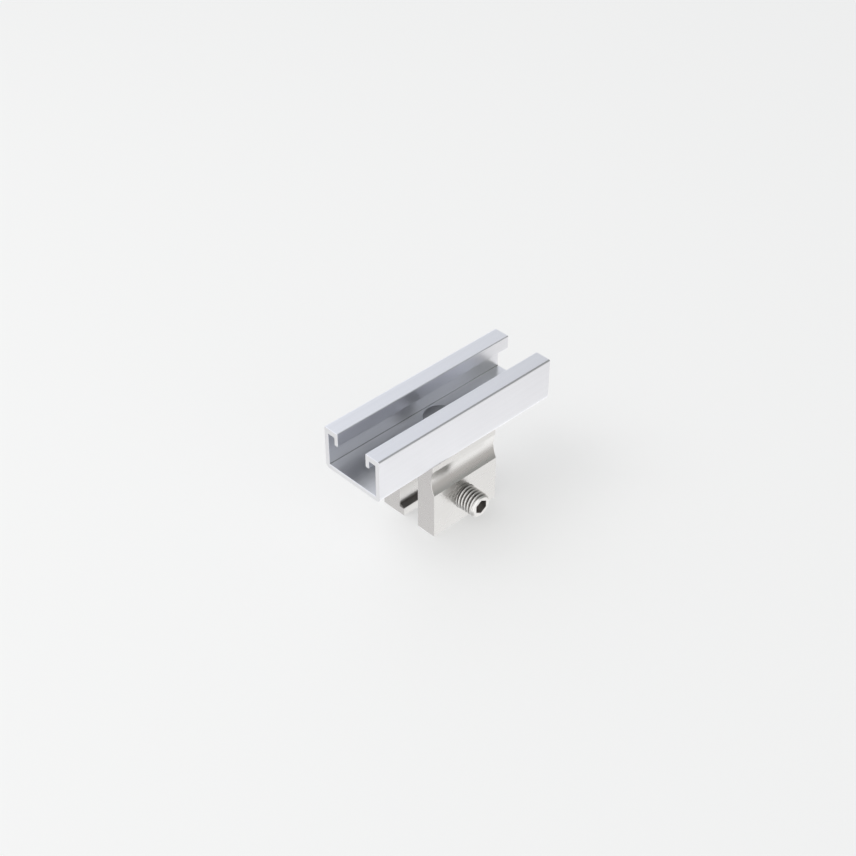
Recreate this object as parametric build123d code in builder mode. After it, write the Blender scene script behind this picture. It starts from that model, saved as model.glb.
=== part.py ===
from build123d import *
import os
from math import radians, tan

# Standing seam roof clamp with a short mounting rail. Millimetres, +Z up.
# X runs along the roof seam and the rail, Y across them. The origin lies in the
# mouth of the seam gap: at mid-length, under the clamp's middle, level with its feet.

# Mounting rail: a slotted channel with hooked lips
rail_length = 88.0
rail_width = 29.0
rail_height = 18.8
rail_wall = 2.0
rail_floor = 2.2
slot_width = 14.8
lip_thickness = 2.5
hook_thickness = 1.8
hook_reach = 5.85
rail_bottom_radius = 2.1
rail_edge_radius = 0.6
slot_edge_radius = 0.3
rail_corner_radius = 0.4

# Clamp body: one extrusion with a flanged head and two legs
clamp_length = 33.0
clamp_height = 33.8
flange_width = 26.2
flange_height = 3.0
leg_spread = 27.8
pad_height = 20.1
cove_depth = 1.25
cove_blend_radius = 1.4
roof_thickness = 9.0
clamp_edge_radius = 0.25

# Seam gap between the legs
front_leg_thickness = 8.9
pocket_width = 9.8
mouth_width = 7.6
lip_tip_height = 3.65
lip_root_height = 4.8
lip_root_radius = 1.0
roof_corner_radius = 1.5

# Set screw that presses the seam against the back leg
set_screw_diameter = 10.0
set_screw_length = 16.0
set_screw_reach = 8.55
set_screw_height = 10.5
set_screw_point = 1.8
set_screw_chamfer = 0.9
set_socket_size = 5.0
set_socket_depth = 5.0

# Low-head screw that holds the rail down on the clamp
rail_screw_diameter = 8.0
rail_screw_length = 10.0
rail_screw_chamfer = 0.9
head_diameter = 13.0
head_height = 5.6
head_edge_radius = 0.25
rail_socket_size = 5.0
rail_socket_depth = 3.4

# Clearances and hole finish
thread_clearance = 0.05
shank_clearance = 0.5
hole_chamfer = 0.15
end_chamfer = 0.12
socket_cone_angle = 60.0
level_tolerance = 0.01

os.makedirs("parts", exist_ok=True)

# Faces and levels that follow from the sizes above
leg_face = leg_spread / 2
gap_front = front_leg_thickness - leg_face
pocket_back = gap_front + pocket_width
lip_face = gap_front + mouth_width
roof_level = clamp_height - roof_thickness
flange_bottom = clamp_height - flange_height
rail_seat = clamp_height
rail_top = rail_seat + rail_height
floor_level = rail_seat + rail_floor
lip_underside = rail_top - lip_thickness
hook_bottom = rail_top - hook_reach
front_pad = Plane(origin=(0, -leg_face, set_screw_height), x_dir=(1, 0, 0), z_dir=(0, -1, 0))


def long_edges_at(piece, level):
    """Edges of an extrusion that run along X at one height."""
    return piece.edges().filter_by(Axis.X).filter_by_position(
        Axis.Z, level - level_tolerance, level + level_tolerance
    )


def end_edges(piece):
    """Outlines of the two cut ends of an extrusion along X."""
    return piece.faces().filter_by(Axis.X).edges()


def hexagon_socket(mouth, size, depth):
    """The space inside a hexagon socket, with corners along the mouth's y direction."""
    with BuildPart() as socket:
        with BuildSketch(mouth):
            RegularPolygon(radius=size / 2, side_count=6, major_radius=False, rotation=30)
        extrude(amount=-depth)
        with Locations(mouth.offset(-depth)):
            Cone(
                bottom_radius=0,
                top_radius=size / 2,
                height=size / 2 / tan(radians(socket_cone_angle)),
                align=(Align.CENTER, Align.CENTER, Align.MAX),
            )
    return socket.part


# Rail: half the channel's section, mirrored and drawn out along X
with BuildPart() as rail:
    with BuildSketch(Plane.YZ.offset(-rail_length / 2)):
        with BuildLine():
            Polyline(
                (0, rail_seat),
                (rail_width / 2, rail_seat),
                (rail_width / 2, rail_top),
                (slot_width / 2, rail_top),
                (slot_width / 2, hook_bottom),
                (slot_width / 2 + hook_thickness, hook_bottom),
                (slot_width / 2 + hook_thickness, lip_underside),
                (rail_width / 2 - rail_wall, lip_underside),
                (rail_width / 2 - rail_wall, floor_level),
                (0, floor_level),
            )
            mirror(about=Plane.YZ)
        make_face()
    extrude(amount=rail_length)
    fillet(long_edges_at(rail, rail_seat), rail_bottom_radius)
    slot_edges = long_edges_at(rail, rail_top).sort_by(Axis.Y)[1:3]
    fillet(slot_edges, slot_edge_radius)
    top_edges = long_edges_at(rail, rail_top).sort_by(Axis.Y)
    fillet([top_edges[0], top_edges[-1]], rail_edge_radius)
    hook_corners = long_edges_at(rail, hook_bottom) + long_edges_at(rail, lip_underside)
    fillet(hook_corners + long_edges_at(rail, floor_level), rail_corner_radius)
    chamfer(end_edges(rail), end_chamfer)
    with Locations(Plane.XY.offset(floor_level)):
        CounterSinkHole(
            radius=rail_screw_diameter / 2 + shank_clearance,
            counter_sink_radius=rail_screw_diameter / 2 + shank_clearance + end_chamfer,
            depth=rail_floor,
            counter_sink_angle=90,
        )
rail.part.label = "rail"
export_step(rail.part, "parts/rail.step")

# Clamp body: flange, a shallow cove above each pad, and the seam gap open below
with BuildPart() as clamp_body:
    with BuildSketch(Plane.YZ.offset(-clamp_length / 2)):
        with BuildLine():
            Line((0, clamp_height), (flange_width / 2, clamp_height))
            Line((flange_width / 2, clamp_height), (flange_width / 2, flange_bottom))
            SagittaArc((flange_width / 2, flange_bottom), (leg_face, pad_height), -cove_depth)
            Line((leg_face, pad_height), (leg_face, 0))
            Line((leg_face, 0), (0, 0))
            mirror(about=Plane.YZ)
        make_face()
        with BuildLine():
            Polyline(
                (gap_front, 0),
                (gap_front, roof_level),
                (pocket_back, roof_level),
                (pocket_back, lip_root_height),
                (lip_face, lip_tip_height),
                (lip_face, 0),
                close=True,
            )
        make_face(mode=Mode.SUBTRACT)
    extrude(amount=clamp_length)
    fillet(long_edges_at(clamp_body, flange_bottom), cove_blend_radius)
    fillet(long_edges_at(clamp_body, roof_level), roof_corner_radius)
    fillet(long_edges_at(clamp_body, lip_root_height), lip_root_radius)
    fillet(long_edges_at(clamp_body, 0) + long_edges_at(clamp_body, clamp_height), clamp_edge_radius)
    chamfer(end_edges(clamp_body), end_chamfer)
    with Locations(Plane.XY.offset(clamp_height)):
        CounterSinkHole(
            radius=rail_screw_diameter / 2 + thread_clearance,
            counter_sink_radius=rail_screw_diameter / 2 + hole_chamfer,
            depth=roof_thickness,
            counter_sink_angle=90,
        )
    with Locations(front_pad):
        CounterSinkHole(
            radius=set_screw_diameter / 2 + thread_clearance,
            counter_sink_radius=set_screw_diameter / 2 + hole_chamfer,
            depth=front_leg_thickness,
            counter_sink_angle=90,
        )
clamp_body.part.label = "clamp_body"
export_step(clamp_body.part, "parts/clamp_body.step")

# Set screw: threaded stud with a socket at its outer end and a coned point
set_screw_end = front_pad.offset(set_screw_reach)
set_socket = hexagon_socket(set_screw_end, set_socket_size, set_socket_depth)
with BuildPart() as set_screw:
    with BuildSketch(set_screw_end):
        Circle(set_screw_diameter / 2)
    extrude(amount=-set_screw_length)
    chamfer(set_screw.edges().sort_by(Axis.Y)[0], set_screw_chamfer)
    chamfer(set_screw.edges().sort_by(Axis.Y)[-1], set_screw_point)
    fillet(set_screw.edges().sort_by(Axis.Y)[-1], set_screw_point / 2)
    add(set_socket, mode=Mode.SUBTRACT)
set_screw.part.label = "set_screw"
export_step(set_screw.part, "parts/set_screw.step")

# Rail screw: low round head on the channel's floor, shank down into the clamp
rail_socket = hexagon_socket(
    Plane.XY.offset(floor_level + head_height), rail_socket_size, rail_socket_depth
)
with BuildPart() as rail_screw:
    with BuildSketch(Plane.XY.offset(floor_level)):
        Circle(head_diameter / 2)
    extrude(amount=head_height)
    fillet(rail_screw.edges().group_by(Axis.Z)[-1], head_edge_radius)
    with BuildSketch(Plane.XY.offset(floor_level)):
        Circle(rail_screw_diameter / 2)
    extrude(amount=-rail_screw_length)
    chamfer(rail_screw.edges().group_by(Axis.Z)[0], rail_screw_chamfer)
    add(rail_socket, mode=Mode.SUBTRACT)
rail_screw.part.label = "rail_screw"
export_step(rail_screw.part, "parts/rail_screw.step")
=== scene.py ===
import math

import bmesh
import bpy
from mathutils import Matrix, Vector


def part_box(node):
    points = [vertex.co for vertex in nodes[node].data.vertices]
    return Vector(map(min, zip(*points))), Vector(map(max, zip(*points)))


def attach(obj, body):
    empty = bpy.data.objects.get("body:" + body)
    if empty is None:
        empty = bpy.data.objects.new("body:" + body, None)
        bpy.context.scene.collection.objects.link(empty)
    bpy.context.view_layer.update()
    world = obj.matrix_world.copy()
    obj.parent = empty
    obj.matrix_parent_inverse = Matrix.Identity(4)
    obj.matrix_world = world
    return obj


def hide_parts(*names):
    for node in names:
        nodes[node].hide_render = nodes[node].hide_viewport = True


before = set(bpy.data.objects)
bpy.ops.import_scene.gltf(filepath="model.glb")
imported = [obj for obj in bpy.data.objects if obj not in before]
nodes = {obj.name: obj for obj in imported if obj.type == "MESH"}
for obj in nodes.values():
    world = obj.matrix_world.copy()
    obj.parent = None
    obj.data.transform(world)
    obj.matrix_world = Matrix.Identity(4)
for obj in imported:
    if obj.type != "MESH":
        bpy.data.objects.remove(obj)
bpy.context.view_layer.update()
mm = 0.001
weldDistance = 0.001 * mm
print("frame loaded:", ", ".join(sorted(nodes)))


# an sRGB hex colour as the linear values that the shaders take
def hexColour(code):
    parts = [int(code[i:i + 2], 16) / 255 for i in (1, 3, 5)]
    linear = [p / 12.92 if p <= 0.04045 else ((p + 0.055) / 1.055) ** 2.4 for p in parts]
    return (*linear, 1.0)


# adds a node: settings are its properties, inputs are values, or sockets to link from
def addNode(tree, kind, inputs=None, **settings):
    node = tree.nodes.new(kind)
    for name, value in settings.items():
        setattr(node, name, value)
    for key, value in (inputs or {}).items():
        if isinstance(value, bpy.types.NodeSocket):
            tree.links.new(value, node.inputs[key])
        else:
            node.inputs[key].default_value = value
    return node


def newMaterial(name):
    material = bpy.data.materials.new(name)
    material.use_nodes = True
    material.node_tree.nodes.clear()
    return material, material.node_tree


def dress(node, material):
    for slot in nodes[node].material_slots:
        slot.material = material


# camera, at the photograph's viewing angle
cameraLook = {
    "azimuth": -43.92,  # degrees, 0 looks along +Y
    "elevation": 38.56,
    "distance": 579.8 * mm,
    "lens": 64.86,  # in millimetres, as the sensor is
    "sensor": 36,
    "nearest": 10 * mm,
    "aim": (-2.65 * mm, 3.77 * mm, 34.9 * mm),
}


def makeCamera(look):
    azimuth = math.radians(look["azimuth"])
    elevation = math.radians(look["elevation"])
    back = Vector((
        math.sin(azimuth) * math.cos(elevation),
        -math.cos(azimuth) * math.cos(elevation),
        math.sin(elevation),
    ))
    right = Vector((math.cos(azimuth), math.sin(azimuth), 0))
    turn = Matrix((right, back.cross(right), back)).transposed()
    place = Vector(look["aim"]) + look["distance"] * back
    data = bpy.data.cameras.new("camera")
    data.lens = look["lens"]
    data.sensor_width = look["sensor"]
    data.clip_start = look["nearest"]
    camera = bpy.data.objects.new("camera", data)
    camera.matrix_world = Matrix.Translation(place) @ turn.to_4x4()
    bpy.context.scene.collection.objects.link(camera)
    bpy.context.scene.camera = camera


makeCamera(cameraLook)
bpy.context.scene.view_settings.view_transform = "Standard"
print("camera placed")

# studio: a pale floor that keeps the shadow, and soft surroundings for the metal to show.
# The surroundings are made up, and fitted to the tones of the photograph.
studioLook = {
    "floorSize": 6.0,
    "floorColour": "#EEEEEC",
    "floorGlow": 0.45,  # share of plain white that the camera sees in the floor
    "backdrop": "#F3F3F2",
    "sky": ("#F7F9FF", 1.19),  # tint and strength, behind the object and above it
    # Laid over the sky, each over the ones before it. The edge holds the cosines to the
    # layer's direction where it begins and where it is full.
    "layers": (
        {
            "name": "dark room at the front right",
            "tint": "#FBFEFB",
            "level": 0.295,
            "towards": (0.52, -0.78, 0.35),
            "edge": (-0.30, 0.50),
        },
        {
            "name": "floor paper far away",
            "tint": "#FFFBF8",
            "level": 0.52,
            "towards": (0, 0, -1),
            "edge": (-0.08, 0.22),
        },
        {
            "name": "floor paper under the lamps",
            "tint": "#FFFFFF",
            "level": 1.12,
            "towards": (0, 0, -1),
            "edge": (0.38, 0.72),
        },
        {
            "name": "shadow on the paper, assumed",
            "tint": "#FFFFFF",
            "level": 0.36,
            "towards": (-0.25, -0.55, -0.80),
            "edge": (0.77, 0.92),
        },
        {
            "name": "softbox at the front left",
            "tint": "#FFFFFF",
            "level": 1.12,
            "towards": (-0.69, -0.69, 0.25),
            "edge": (0.31, 0.70),
        },
    ),
    "keyFrom": (-0.55, 0.35, 0.85),
    "keySize": 0.6,
    "keyEnergy": 2.6,
}


def makeFloor(look):
    half = look["floorSize"] / 2
    corners = [(-half, -half, 0), (half, -half, 0), (half, half, 0), (-half, half, 0)]
    mesh = bpy.data.meshes.new("floor")
    mesh.from_pydata(corners, [], [(0, 1, 2, 3)])
    floor = bpy.data.objects.new("floor", mesh)
    bpy.context.scene.collection.objects.link(floor)
    material, tree = newMaterial("matte studio paper")
    path = addNode(tree, "ShaderNodeLightPath")
    share = addNode(tree, "ShaderNodeMath",
                    {0: path.outputs["Is Camera Ray"], 1: look["floorGlow"]},
                    operation="MULTIPLY")
    paper = addNode(tree, "ShaderNodeBsdfDiffuse", {"Color": hexColour(look["floorColour"])})
    glow = addNode(tree, "ShaderNodeEmission", {"Color": (1, 1, 1, 1), "Strength": 1.0})
    seen = addNode(tree, "ShaderNodeMixShader",
                   {0: share.outputs[0], 1: paper.outputs[0], 2: glow.outputs[0]})
    # the metal looks through the floor, at the paper in the world's layers
    mirrored = addNode(tree, "ShaderNodeMath",
                       {0: path.outputs["Is Glossy Ray"], 1: path.outputs["Is Shadow Ray"]},
                       operation="MAXIMUM")
    clear = addNode(tree, "ShaderNodeBsdfTransparent")
    both = addNode(tree, "ShaderNodeMixShader",
                   {0: mirrored.outputs[0], 1: seen.outputs[0], 2: clear.outputs[0]})
    addNode(tree, "ShaderNodeOutputMaterial", {"Surface": both.outputs[0]})
    mesh.materials.append(material)


def makeWorld(look):
    world = bpy.data.worlds.new("studio")
    bpy.context.scene.world = world
    world.use_nodes = True
    tree = world.node_tree
    tree.nodes.clear()
    direction = addNode(tree, "ShaderNodeTexCoord").outputs["Generated"]
    tint, level = look["sky"]
    around = addNode(tree, "ShaderNodeBackground", {"Color": hexColour(tint), "Strength": level})
    for layer in look["layers"]:
        facing = addNode(tree, "ShaderNodeVectorMath",
                         {0: direction, 1: Vector(layer["towards"]).normalized()},
                         operation="DOT_PRODUCT")
        share = addNode(tree, "ShaderNodeMapRange",
                        {"Value": facing.outputs["Value"],
                         "From Min": layer["edge"][0], "From Max": layer["edge"][1]},
                        interpolation_type="SMOOTHSTEP")
        tone = addNode(tree, "ShaderNodeBackground",
                       {"Color": hexColour(layer["tint"]), "Strength": layer["level"]},
                       label=layer["name"])
        around = addNode(tree, "ShaderNodeMixShader",
                         {0: share.outputs["Result"], 1: around.outputs[0], 2: tone.outputs[0]})
    path = addNode(tree, "ShaderNodeLightPath")
    plain = addNode(tree, "ShaderNodeBackground",
                    {"Color": hexColour(look["backdrop"]), "Strength": 1.0})
    both = addNode(tree, "ShaderNodeMixShader",
                   {0: path.outputs["Is Camera Ray"], 1: around.outputs[0], 2: plain.outputs[0]})
    addNode(tree, "ShaderNodeOutputWorld", {"Surface": both.outputs[0]})


def makeKeyLight(look):
    light = bpy.data.lights.new("keyLight", "AREA")
    light.shape = "SQUARE"
    light.size = look["keySize"]
    light.energy = look["keyEnergy"]
    lamp = bpy.data.objects.new("keyLight", light)
    place = Vector(look["keyFrom"])
    lamp.location = place
    lamp.rotation_mode = "QUATERNION"
    lamp.rotation_quaternion = place.to_track_quat("Z", "Y")
    lamp.visible_glossy = False
    bpy.context.scene.collection.objects.link(lamp)


makeFloor(studioLook)
makeWorld(studioLook)
makeKeyLight(studioLook)
print("studio lit")


# lays painted shade, another tone and roughness, over a metal where the mask is 1
def paintShade(tree, metal, mask, paintedShade):
    for name, kind, value in (("Base Color", "RGBA", hexColour(paintedShade["colour"])),
                              ("Roughness", "FLOAT", paintedShade["roughness"])):
        clean = metal.inputs[name].links[0].from_socket
        tone = addNode(tree, "ShaderNodeMix", {"Factor": mask, "A": clean, "B": value},
                       data_type=kind)
        tree.links.new(tone.outputs["Result"], metal.inputs[name])


# where shade is painted: 0 to 1 inside a box of object space, rising inwards over a soft edge
def shadeInBox(tree, place, paintedShade):
    spot = addNode(tree, "ShaderNodeSeparateXYZ", {0: place})
    inside = None
    for axis in ("Y", "Z"):
        (low, lowSoft), (high, highSoft) = paintedShade[axis]
        for edge, full in ((low, low + lowSoft), (high, high - highSoft)):
            mask = addNode(tree, "ShaderNodeMapRange",
                           {"Value": spot.outputs[axis], "From Min": edge, "From Max": full})
            if inside is None:
                inside = mask.outputs["Result"]
            else:
                inside = addNode(tree, "ShaderNodeMath", {0: inside, 1: mask.outputs["Result"]},
                                 operation="MULTIPLY").outputs[0]
    return inside


# Extruded metal. The die leaves faint straight lines along X; the ends carry the arcs
# of a saw blade. Both are drawn a little coarser than real so that they show.
endFacing = 0.9  # a face whose normal has this much of X is a cut end
mottleRange = (0.6, 1.4)  # nearly all values that two noises add up to


def extrudedMetal(name, look):
    material, tree = newMaterial(name)
    place = addNode(tree, "ShaderNodeTexCoord").outputs["Object"]
    drawn = addNode(tree, "ShaderNodeMapping",
                    {"Vector": place, "Scale": (look["lineStretch"], 1, 1)})
    fine = addNode(tree, "ShaderNodeTexNoise",
                   {"Vector": drawn.outputs[0], "Scale": 1 / look["lineSpacing"], "Detail": 2.0})
    broad = addNode(tree, "ShaderNodeTexNoise",
                    {"Vector": drawn.outputs[0], "Scale": 1 / look["streakWidth"], "Detail": 4.0})
    cloud = addNode(tree, "ShaderNodeTexNoise",
                    {"Vector": place, "Scale": 1 / look["cloudSize"], "Detail": 2.0})

    arcs = addNode(tree, "ShaderNodeVectorMath", {0: place, 1: look["sawCentre"]},
                   operation="DISTANCE")
    sawn = addNode(tree, "ShaderNodeTexNoise",
                   {"W": arcs.outputs["Value"], "Scale": 1 / look["sawSpacing"], "Detail": 2.0},
                   noise_dimensions="1D")
    normal = addNode(tree, "ShaderNodeNewGeometry").outputs["True Normal"]
    facing = addNode(tree, "ShaderNodeSeparateXYZ", {0: normal})
    along = addNode(tree, "ShaderNodeMath", {0: facing.outputs["X"]}, operation="ABSOLUTE")
    isEnd = addNode(tree, "ShaderNodeMath", {0: along.outputs[0], 1: endFacing},
                    operation="GREATER_THAN")
    relief = addNode(tree, "ShaderNodeMix",
                     {"Factor": isEnd.outputs[0], "A": fine.outputs["Fac"],
                      "B": sawn.outputs["Fac"]})
    bump = addNode(tree, "ShaderNodeBump",
                   {"Height": relief.outputs["Result"], "Strength": look["bumpStrength"],
                    "Distance": look["bumpDepth"]})

    drawnTint = addNode(tree, "ShaderNodeMix",
                        {"Factor": broad.outputs["Fac"], "A": hexColour(look["colour"]),
                         "B": hexColour(look["streakColour"])}, data_type="RGBA")
    tint = addNode(tree, "ShaderNodeMix",
                   {"Factor": isEnd.outputs[0], "A": drawnTint.outputs["Result"],
                    "B": hexColour(look["sawnColour"])}, data_type="RGBA")
    mottle = addNode(tree, "ShaderNodeMath", {0: broad.outputs["Fac"], 1: cloud.outputs["Fac"]},
                     operation="ADD")
    rough = addNode(tree, "ShaderNodeMapRange",
                    {"Value": mottle.outputs[0],
                     "From Min": mottleRange[0], "From Max": mottleRange[1],
                     "To Min": look["roughness"][0], "To Max": look["roughness"][1]})
    metal = addNode(tree, "ShaderNodeBsdfPrincipled",
                    {"Base Color": tint.outputs["Result"], "Metallic": 1.0,
                     "Roughness": rough.outputs["Result"], "Normal": bump.outputs[0]})
    addNode(tree, "ShaderNodeOutputMaterial", {"Surface": metal.outputs[0]})
    # painted shade in the box that the look gives
    paintShade(tree, metal, shadeInBox(tree, place, look["paintedShade"]), look["paintedShade"])
    return material


# Mill-finish aluminium: bright, slightly blue, satin from the die
railLook = {
    "colour": "#ECEDF1",
    "streakColour": "#F7F8FC",
    "sawnColour": "#E2E3E5",
    "roughness": (0.29, 0.36),
    "lineStretch": 0.01,
    "lineSpacing": 0.45 * mm,
    "streakWidth": 1.6 * mm,
    "cloudSize": 9 * mm,
    "sawCentre": (0, -90 * mm, -60 * mm),
    "sawSpacing": 0.5 * mm,
    "bumpStrength": 0.12,
    "bumpDepth": 0.02 * mm,
    # Painted shade: a thin dark line in the corner of floor and back wall. A thin dark line
    # in the corner of floor and back wall, painted; its cause isn't known. Each side of the
    # box has its place and how softly it starts.
    "paintedShade": {
        "Y": ((12.15 * mm, 0.1 * mm), (12.6 * mm, 0.1 * mm)),
        "Z": ((35.9 * mm, 0.1 * mm), (36.3 * mm, 0.1 * mm)),
        "colour": "#BDBEC0",
        "roughness": 0.3,
    },
}
dress("rail", extrudedMetal("mill finish aluminium", railLook))

# Satin stainless steel: warmer and greyer than the rail, and duller where it was sawn
clampLook = {
    "colour": "#DDDCDA",
    "streakColour": "#E7E6E4",
    "sawnColour": "#C3C1C0",
    "roughness": (0.24, 0.31),
    "lineStretch": 0.012,
    "lineSpacing": 0.6 * mm,
    "streakWidth": 3.5 * mm,
    "cloudSize": 7 * mm,
    "sawCentre": (0, 70 * mm, 120 * mm),
    "sawSpacing": 0.6 * mm,
    "bumpStrength": 0.07,
    "bumpDepth": 0.02 * mm,
    # the dark band above the gap's lip, painted; its cause isn't known
    "paintedShade": {  # painted shade: the dark band in the recess above the gap's lip
        "Y": ((2.55 * mm, 0.3 * mm), (5.2 * mm, 0.3 * mm)),
        "Z": ((3.3 * mm, 0.3 * mm), (6.5 * mm, 1.6 * mm)),
        "colour": "#767472",
        "roughness": 0.45,
    },
}
dress("clamp_body", extrudedMetal("satin stainless steel", clampLook))
print("extrusions dressed")


# where shade is painted: 0 to 1 between two distances from the screw's axis, over a stretch of
# its length
def shadeOnScrew(tree, centred, reach, paintedShade):
    depth = addNode(tree, "ShaderNodeSeparateXYZ", {0: centred.outputs[0]}).outputs["Y"]
    isNear = addNode(tree, "ShaderNodeMapRange",
                     {"Value": reach.outputs["Value"], "From Min": paintedShade["cleanRadius"],
                      "From Max": paintedShade["fullRadius"]})
    start, end = paintedShade["stretch"]
    isWithin = addNode(tree, "ShaderNodeMath",
                       {0: depth, 1: (start + end) / 2, 2: (end - start) / 2},
                       operation="COMPARE")
    both = addNode(tree, "ShaderNodeMath", {0: isNear.outputs["Result"], 1: isWithin.outputs[0]},
                   operation="MULTIPLY")
    return both.outputs[0]


# Metal that is round about an axis. The tool leaves rings round it, drawn coarser than
# real so that they show, and handling leaves its gloss uneven.
cloudRange = (0.3, 0.7)  # nearly all values that one noise has


def turnedMetal(name, look):
    material, tree = newMaterial(name)
    place = addNode(tree, "ShaderNodeTexCoord").outputs["Object"]
    centred = addNode(tree, "ShaderNodeVectorMath", {0: place, 1: look["centre"]},
                      operation="SUBTRACT")
    flat = addNode(tree, "ShaderNodeVectorMath", {0: centred.outputs[0], 1: look["across"]},
                   operation="MULTIPLY")
    reach = addNode(tree, "ShaderNodeVectorMath", {0: flat.outputs[0]}, operation="LENGTH")
    rings = addNode(tree, "ShaderNodeTexNoise",
                    {"W": reach.outputs["Value"], "Scale": 1 / look["ringSpacing"],
                     "Detail": 2.0}, noise_dimensions="1D")
    cloud = addNode(tree, "ShaderNodeTexNoise",
                    {"Vector": place, "Scale": 1 / look["cloudSize"], "Detail": 3.0})
    bump = addNode(tree, "ShaderNodeBump",
                   {"Height": rings.outputs["Fac"], "Strength": look["bumpStrength"],
                    "Distance": look["bumpDepth"]})
    tint = addNode(tree, "ShaderNodeMix",
                   {"Factor": cloud.outputs["Fac"], "A": hexColour(look["colour"]),
                    "B": hexColour(look["wornColour"])}, data_type="RGBA")
    rough = addNode(tree, "ShaderNodeMapRange",
                    {"Value": cloud.outputs["Fac"],
                     "From Min": cloudRange[0], "From Max": cloudRange[1],
                     "To Min": look["roughness"][0], "To Max": look["roughness"][1]})
    metal = addNode(tree, "ShaderNodeBsdfPrincipled",
                    {"Base Color": tint.outputs["Result"], "Metallic": 1.0,
                     "Roughness": rough.outputs["Result"], "Normal": bump.outputs[0]})
    addNode(tree, "ShaderNodeOutputMaterial", {"Surface": metal.outputs[0]})
    # painted shade where the look gives it
    for paintedShade in look["paintedShades"]:
        paintShade(tree, metal, shadeOnScrew(tree, centred, reach, paintedShade), paintedShade)
    return material


# Rail screw: zinc flake coated steel, darker and more matt than bare metal
railScrewLook = {
    "colour": "#C6C7CB",
    "wornColour": "#CDCED2",
    "roughness": (0.32, 0.40),
    "centre": (0, 0, 0),
    "across": (1, 1, 0),
    "ringSpacing": 0.4 * mm,
    "cloudSize": 3 * mm,
    "bumpStrength": 0.1,
    "bumpDepth": 0.02 * mm,
    "paintedShades": [],
}
dress("rail_screw", turnedMetal("zinc flake coated steel", railScrewLook))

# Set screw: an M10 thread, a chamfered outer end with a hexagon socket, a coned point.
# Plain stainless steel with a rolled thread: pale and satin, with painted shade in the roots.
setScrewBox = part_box("set_screw")
setScrewLook = {
    "pitch": 1.5 * mm,
    "threadDepth": 0.92 * mm,
    "crestShare": 0.13,  # of the half pitch
    "rootShare": 0.17,
    "endChamfer": 0.95 * mm,
    "pointChamfer": 1.8 * mm,
    "pointSlope": math.radians(45),
    "pointRadius": 0.9 * mm,
    "pointSteps": 4,
    "socketSize": 5.14 * mm,  # the solid has 5.0; the photograph reads about 5.3
    "socketDepth": 5.0 * mm,
    "socketBreak": 0.08 * mm,
    "socketCone": math.radians(60),
    "segments": 144,
    "ringsPerTurn": 16,
    "startTurn": 0.367,
    "sharpAngle": math.radians(32),
    "colour": "#F7F6F4",
    "wornColour": "#F0EFED",
    "roughness": (0.34, 0.42),
    "centre": (0, setScrewBox[0].y, (setScrewBox[0].z + setScrewBox[1].z) / 2),
    "across": (1, 0, 1),
    "ringSpacing": 0.5 * mm,
    "cloudSize": 2.5 * mm,
    "bumpStrength": 0.05,
    "bumpDepth": 0.015 * mm,
    "paintedShades": [
        {  # painted shade in the thread's roots, for the thread's contrast
            "cleanRadius": 4.9 * mm,
            "fullRadius": 4.35 * mm,
            "stretch": (1.0 * mm, 14.0 * mm),
            "colour": "#8A8784",
            "roughness": 0.4,
        },
        {  # painted shade down the socket walls
            "cleanRadius": 3.1 * mm,
            "fullRadius": 3.0 * mm,
            "stretch": (0.02 * mm, 7.0 * mm),
            "colour": "#B6B3B0",
            "roughness": 0.4,
        },
    ],
}


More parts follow.
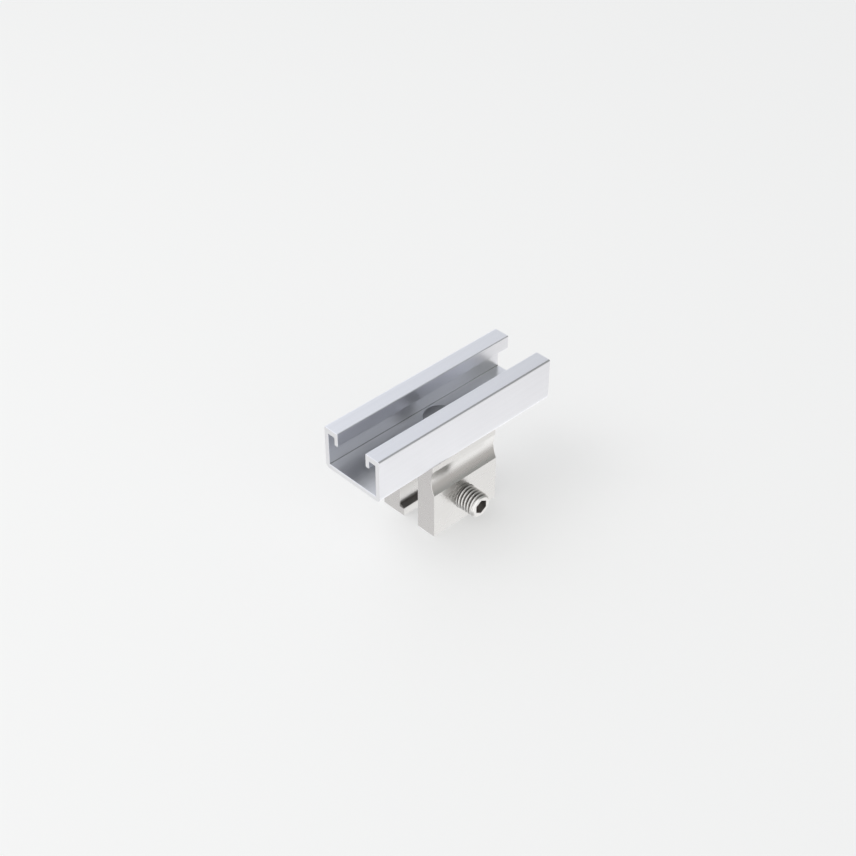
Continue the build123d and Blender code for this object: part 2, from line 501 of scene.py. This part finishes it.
# Geometry Nodes tree for a threaded barrel along +Y, open at both ends: a flat grid,
# one unit wide and high, is wound round the axis
def threadTree():
    tree = bpy.data.node_groups.new("threadedBarrel", "GeometryNodeTree")
    sockets = {
        "NodeSocketFloat": ("Diameter", "Length", "Pitch", "Depth", "Crest", "Root",
                            "End Chamfer", "Point Chamfer", "Start"),
        "NodeSocketInt": ("Columns", "Rows"),
        "NodeSocketMaterial": ("Material",),
    }
    for kind, names in sockets.items():
        for name in names:
            tree.interface.new_socket(name, in_out="INPUT", socket_type=kind)
    tree.interface.new_socket("Geometry", in_out="OUTPUT", socket_type="NodeSocketGeometry")
    values = {socket.name: socket for socket in addNode(tree, "NodeGroupInput").outputs}
    grid = addNode(tree, "GeometryNodeMeshGrid",
                   {"Size X": 1.0, "Size Y": 1.0,
                    "Vertices X": values["Columns"], "Vertices Y": values["Rows"]})
    position = addNode(tree, "GeometryNodeInputPosition").outputs[0]
    spot = addNode(tree, "ShaderNodeSeparateXYZ", {0: position})
    values["across"] = spot.outputs["X"]
    values["up"] = spot.outputs["Y"]

    # each row names a result, its operation, and what that works on: a name from above
    # or a number
    sums = (
        ("turn", "ADD", "across", 0.5),
        ("share", "ADD", "up", 0.5),
        ("depth", "MULTIPLY", "share", "Length"),
        # place on the thread: 0 in the middle of the crest, 1 in the middle of the root
        ("pitches", "DIVIDE", "depth", "Pitch"),
        ("unwound", "SUBTRACT", "pitches", "turn"),
        ("wound", "ADD", "unwound", "Start"),
        ("fraction", "FRACT", "wound"),
        ("shifted", "SUBTRACT", "fraction", 0.5),
        ("mirrored", "ABSOLUTE", "shifted"),
        ("place", "MULTIPLY", "mirrored", 2.0),
        # down the flank: 0 on the crest, 1 on the root
        ("rootEdge", "SUBTRACT", 1.0, "Root"),
        ("flank", "SUBTRACT", "rootEdge", "Crest"),
        ("pastCrest", "SUBTRACT", "place", "Crest"),
        ("slope", "DIVIDE", "pastCrest", "flank"),
        ("fromCrest", "MAXIMUM", "slope", 0.0),
        ("toRoot", "MINIMUM", "fromCrest", 1.0),
        ("groove", "MULTIPLY", "toRoot", "Depth"),
        ("radius", "MULTIPLY", "Diameter", 0.5),
        ("threaded", "SUBTRACT", "radius", "groove"),
        # both ends are turned down to a cone
        ("beforeEnd", "SUBTRACT", "End Chamfer", "depth"),
        ("endCut", "MAXIMUM", "beforeEnd", 0.0),
        ("left", "SUBTRACT", "Length", "depth"),
        ("beforePoint", "SUBTRACT", "Point Chamfer", "left"),
        ("pointCut", "MAXIMUM", "beforePoint", 0.0),
        ("cut", "MAXIMUM", "endCut", "pointCut"),
        ("cone", "SUBTRACT", "radius", "cut"),
        ("reach", "MINIMUM", "threaded", "cone"),
        # wound round the axis
        ("angle", "MULTIPLY", "turn", 2 * math.pi),
        ("sine", "SINE", "angle"),
        ("cosine", "COSINE", "angle"),
        ("sideways", "MULTIPLY", "reach", "sine"),
        ("upwards", "MULTIPLY", "reach", "cosine"),
    )
    for name, operation, *operands in sums:
        inputs = {index: values.get(given, given) for index, given in enumerate(operands)}
        values[name] = addNode(tree, "ShaderNodeMath", inputs, operation=operation).outputs[0]

    point = addNode(tree, "ShaderNodeCombineXYZ",
                    {"X": values["sideways"], "Y": values["depth"], "Z": values["upwards"]})
    moved = addNode(tree, "GeometryNodeSetPosition",
                    {"Geometry": grid.outputs["Mesh"], "Position": point.outputs[0]})
    seamless = addNode(tree, "GeometryNodeMergeByDistance",
                       {"Geometry": moved.outputs[0], "Distance": weldDistance})
    real = addNode(tree, "GeometryNodeRealizeInstances", {"Geometry": seamless.outputs[0]})
    painted = addNode(tree, "GeometryNodeSetMaterial",
                      {"Geometry": real.outputs[0], "Material": values["Material"]})
    addNode(tree, "NodeGroupOutput", {"Geometry": painted.outputs[0]})
    return tree


# runs a tree on an empty mesh and returns the plain mesh that it makes
def meshFromTree(name, tree, values):
    carrier = bpy.data.objects.new(name, bpy.data.meshes.new(name))
    bpy.context.scene.collection.objects.link(carrier)
    modifier = carrier.modifiers.new("build", "NODES")
    modifier.node_group = tree
    for item in tree.interface.items_tree:
        if item.in_out == "INPUT":
            modifier[item.identifier] = values[item.name]
    graph = bpy.context.evaluated_depsgraph_get()
    mesh = bpy.data.meshes.new_from_object(carrier.evaluated_get(graph))
    bpy.data.objects.remove(carrier)
    return mesh


# closes an open end: each row is a depth and a radius, round or hexagonal
def closeEnd(shape, look, rows, centreDepth):
    rings = []
    for depth, radius, hexagonal in rows:
        ring = []
        for step in range(look["segments"]):
            angle = 2 * math.pi * step / look["segments"]
            reach = radius
            if hexagonal:
                reach = radius / math.cos(angle % (math.pi / 3) - math.pi / 6)
            corner = (reach * math.sin(angle), depth, reach * math.cos(angle))
            ring.append(shape.verts.new(corner))
        rings.append(ring)
    middle = shape.verts.new((0, centreDepth, 0))
    for step in range(look["segments"]):
        following = (step + 1) % look["segments"]
        for inner, outer in zip(rings[1:], rings):
            shape.faces.new((outer[step], outer[following], inner[following], inner[step]))
        shape.faces.new((rings[-1][step], rings[-1][following], middle))


def makeSetScrew(look):
    low, high = setScrewBox
    diameter = high.x - low.x
    length = high.y - low.y
    # the point's edge is rounded, and the barrel stops where the rounding starts
    setback = look["pointRadius"] * math.tan(look["pointSlope"] / 2)
    barrelEnd = length - setback * math.cos(look["pointSlope"])
    material = turnedMetal("rolled stainless steel", look)
    barrel = meshFromTree("threadedBarrel", threadTree(), {
        "Diameter": diameter,
        "Length": barrelEnd,
        "Pitch": look["pitch"],
        "Depth": look["threadDepth"],
        "Crest": look["crestShare"],
        "Root": look["rootShare"],
        "End Chamfer": look["endChamfer"],
        "Point Chamfer": look["pointChamfer"] - (length - barrelEnd),
        "Start": look["startTurn"],
        "Columns": look["segments"] + 1,
        "Rows": round(barrelEnd / look["pitch"] * look["ringsPerTurn"]) + 1,
        "Material": material,
    })
    shape = bmesh.new()
    shape.from_mesh(barrel)

    apothem = look["socketSize"] / 2
    rim = diameter / 2 - look["endChamfer"]
    coneHeight = apothem / math.tan(look["socketCone"])
    closeEnd(shape, look, [
        (0, rim, False),
        (0, apothem + look["socketBreak"], True),
        (look["socketBreak"], apothem, True),
        (look["socketDepth"], apothem, True),
    ], look["socketDepth"] + coneHeight)

    flatRadius = diameter / 2 - look["pointChamfer"] - setback
    rounding = []
    for step in range(look["pointSteps"], -1, -1):
        bend = look["pointSlope"] * step / look["pointSteps"]
        depth = length - look["pointRadius"] * (1 - math.cos(bend))
        radius = flatRadius + look["pointRadius"] * math.sin(bend)
        rounding.append((depth, radius, False))
    closeEnd(shape, look, rounding, length)

    bmesh.ops.remove_doubles(shape, verts=shape.verts, dist=weldDistance)
    place = ((low.x + high.x) / 2, low.y, (low.z + high.z) / 2)
    bmesh.ops.translate(shape, verts=shape.verts, vec=place)
    bmesh.ops.recalc_face_normals(shape, faces=shape.faces)
    openEdges = [edge for edge in shape.edges if not edge.is_manifold]
    print("set screw: faces", len(shape.faces), "open edges", len(openEdges))
    mesh = bpy.data.meshes.new("setScrewThreaded")
    shape.to_mesh(mesh)
    shape.free()
    mesh.materials.append(material)
    mesh.polygons.foreach_set("use_smooth", [True] * len(mesh.polygons))
    mesh.set_sharp_from_angle(angle=look["sharpAngle"])
    screw = bpy.data.objects.new("setScrewThreaded", mesh)
    bpy.context.scene.collection.objects.link(screw)
    return screw


setScrew = makeSetScrew(setScrewLook)
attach(setScrew, "set_screw")
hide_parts("set_screw")
print("set screw threaded")
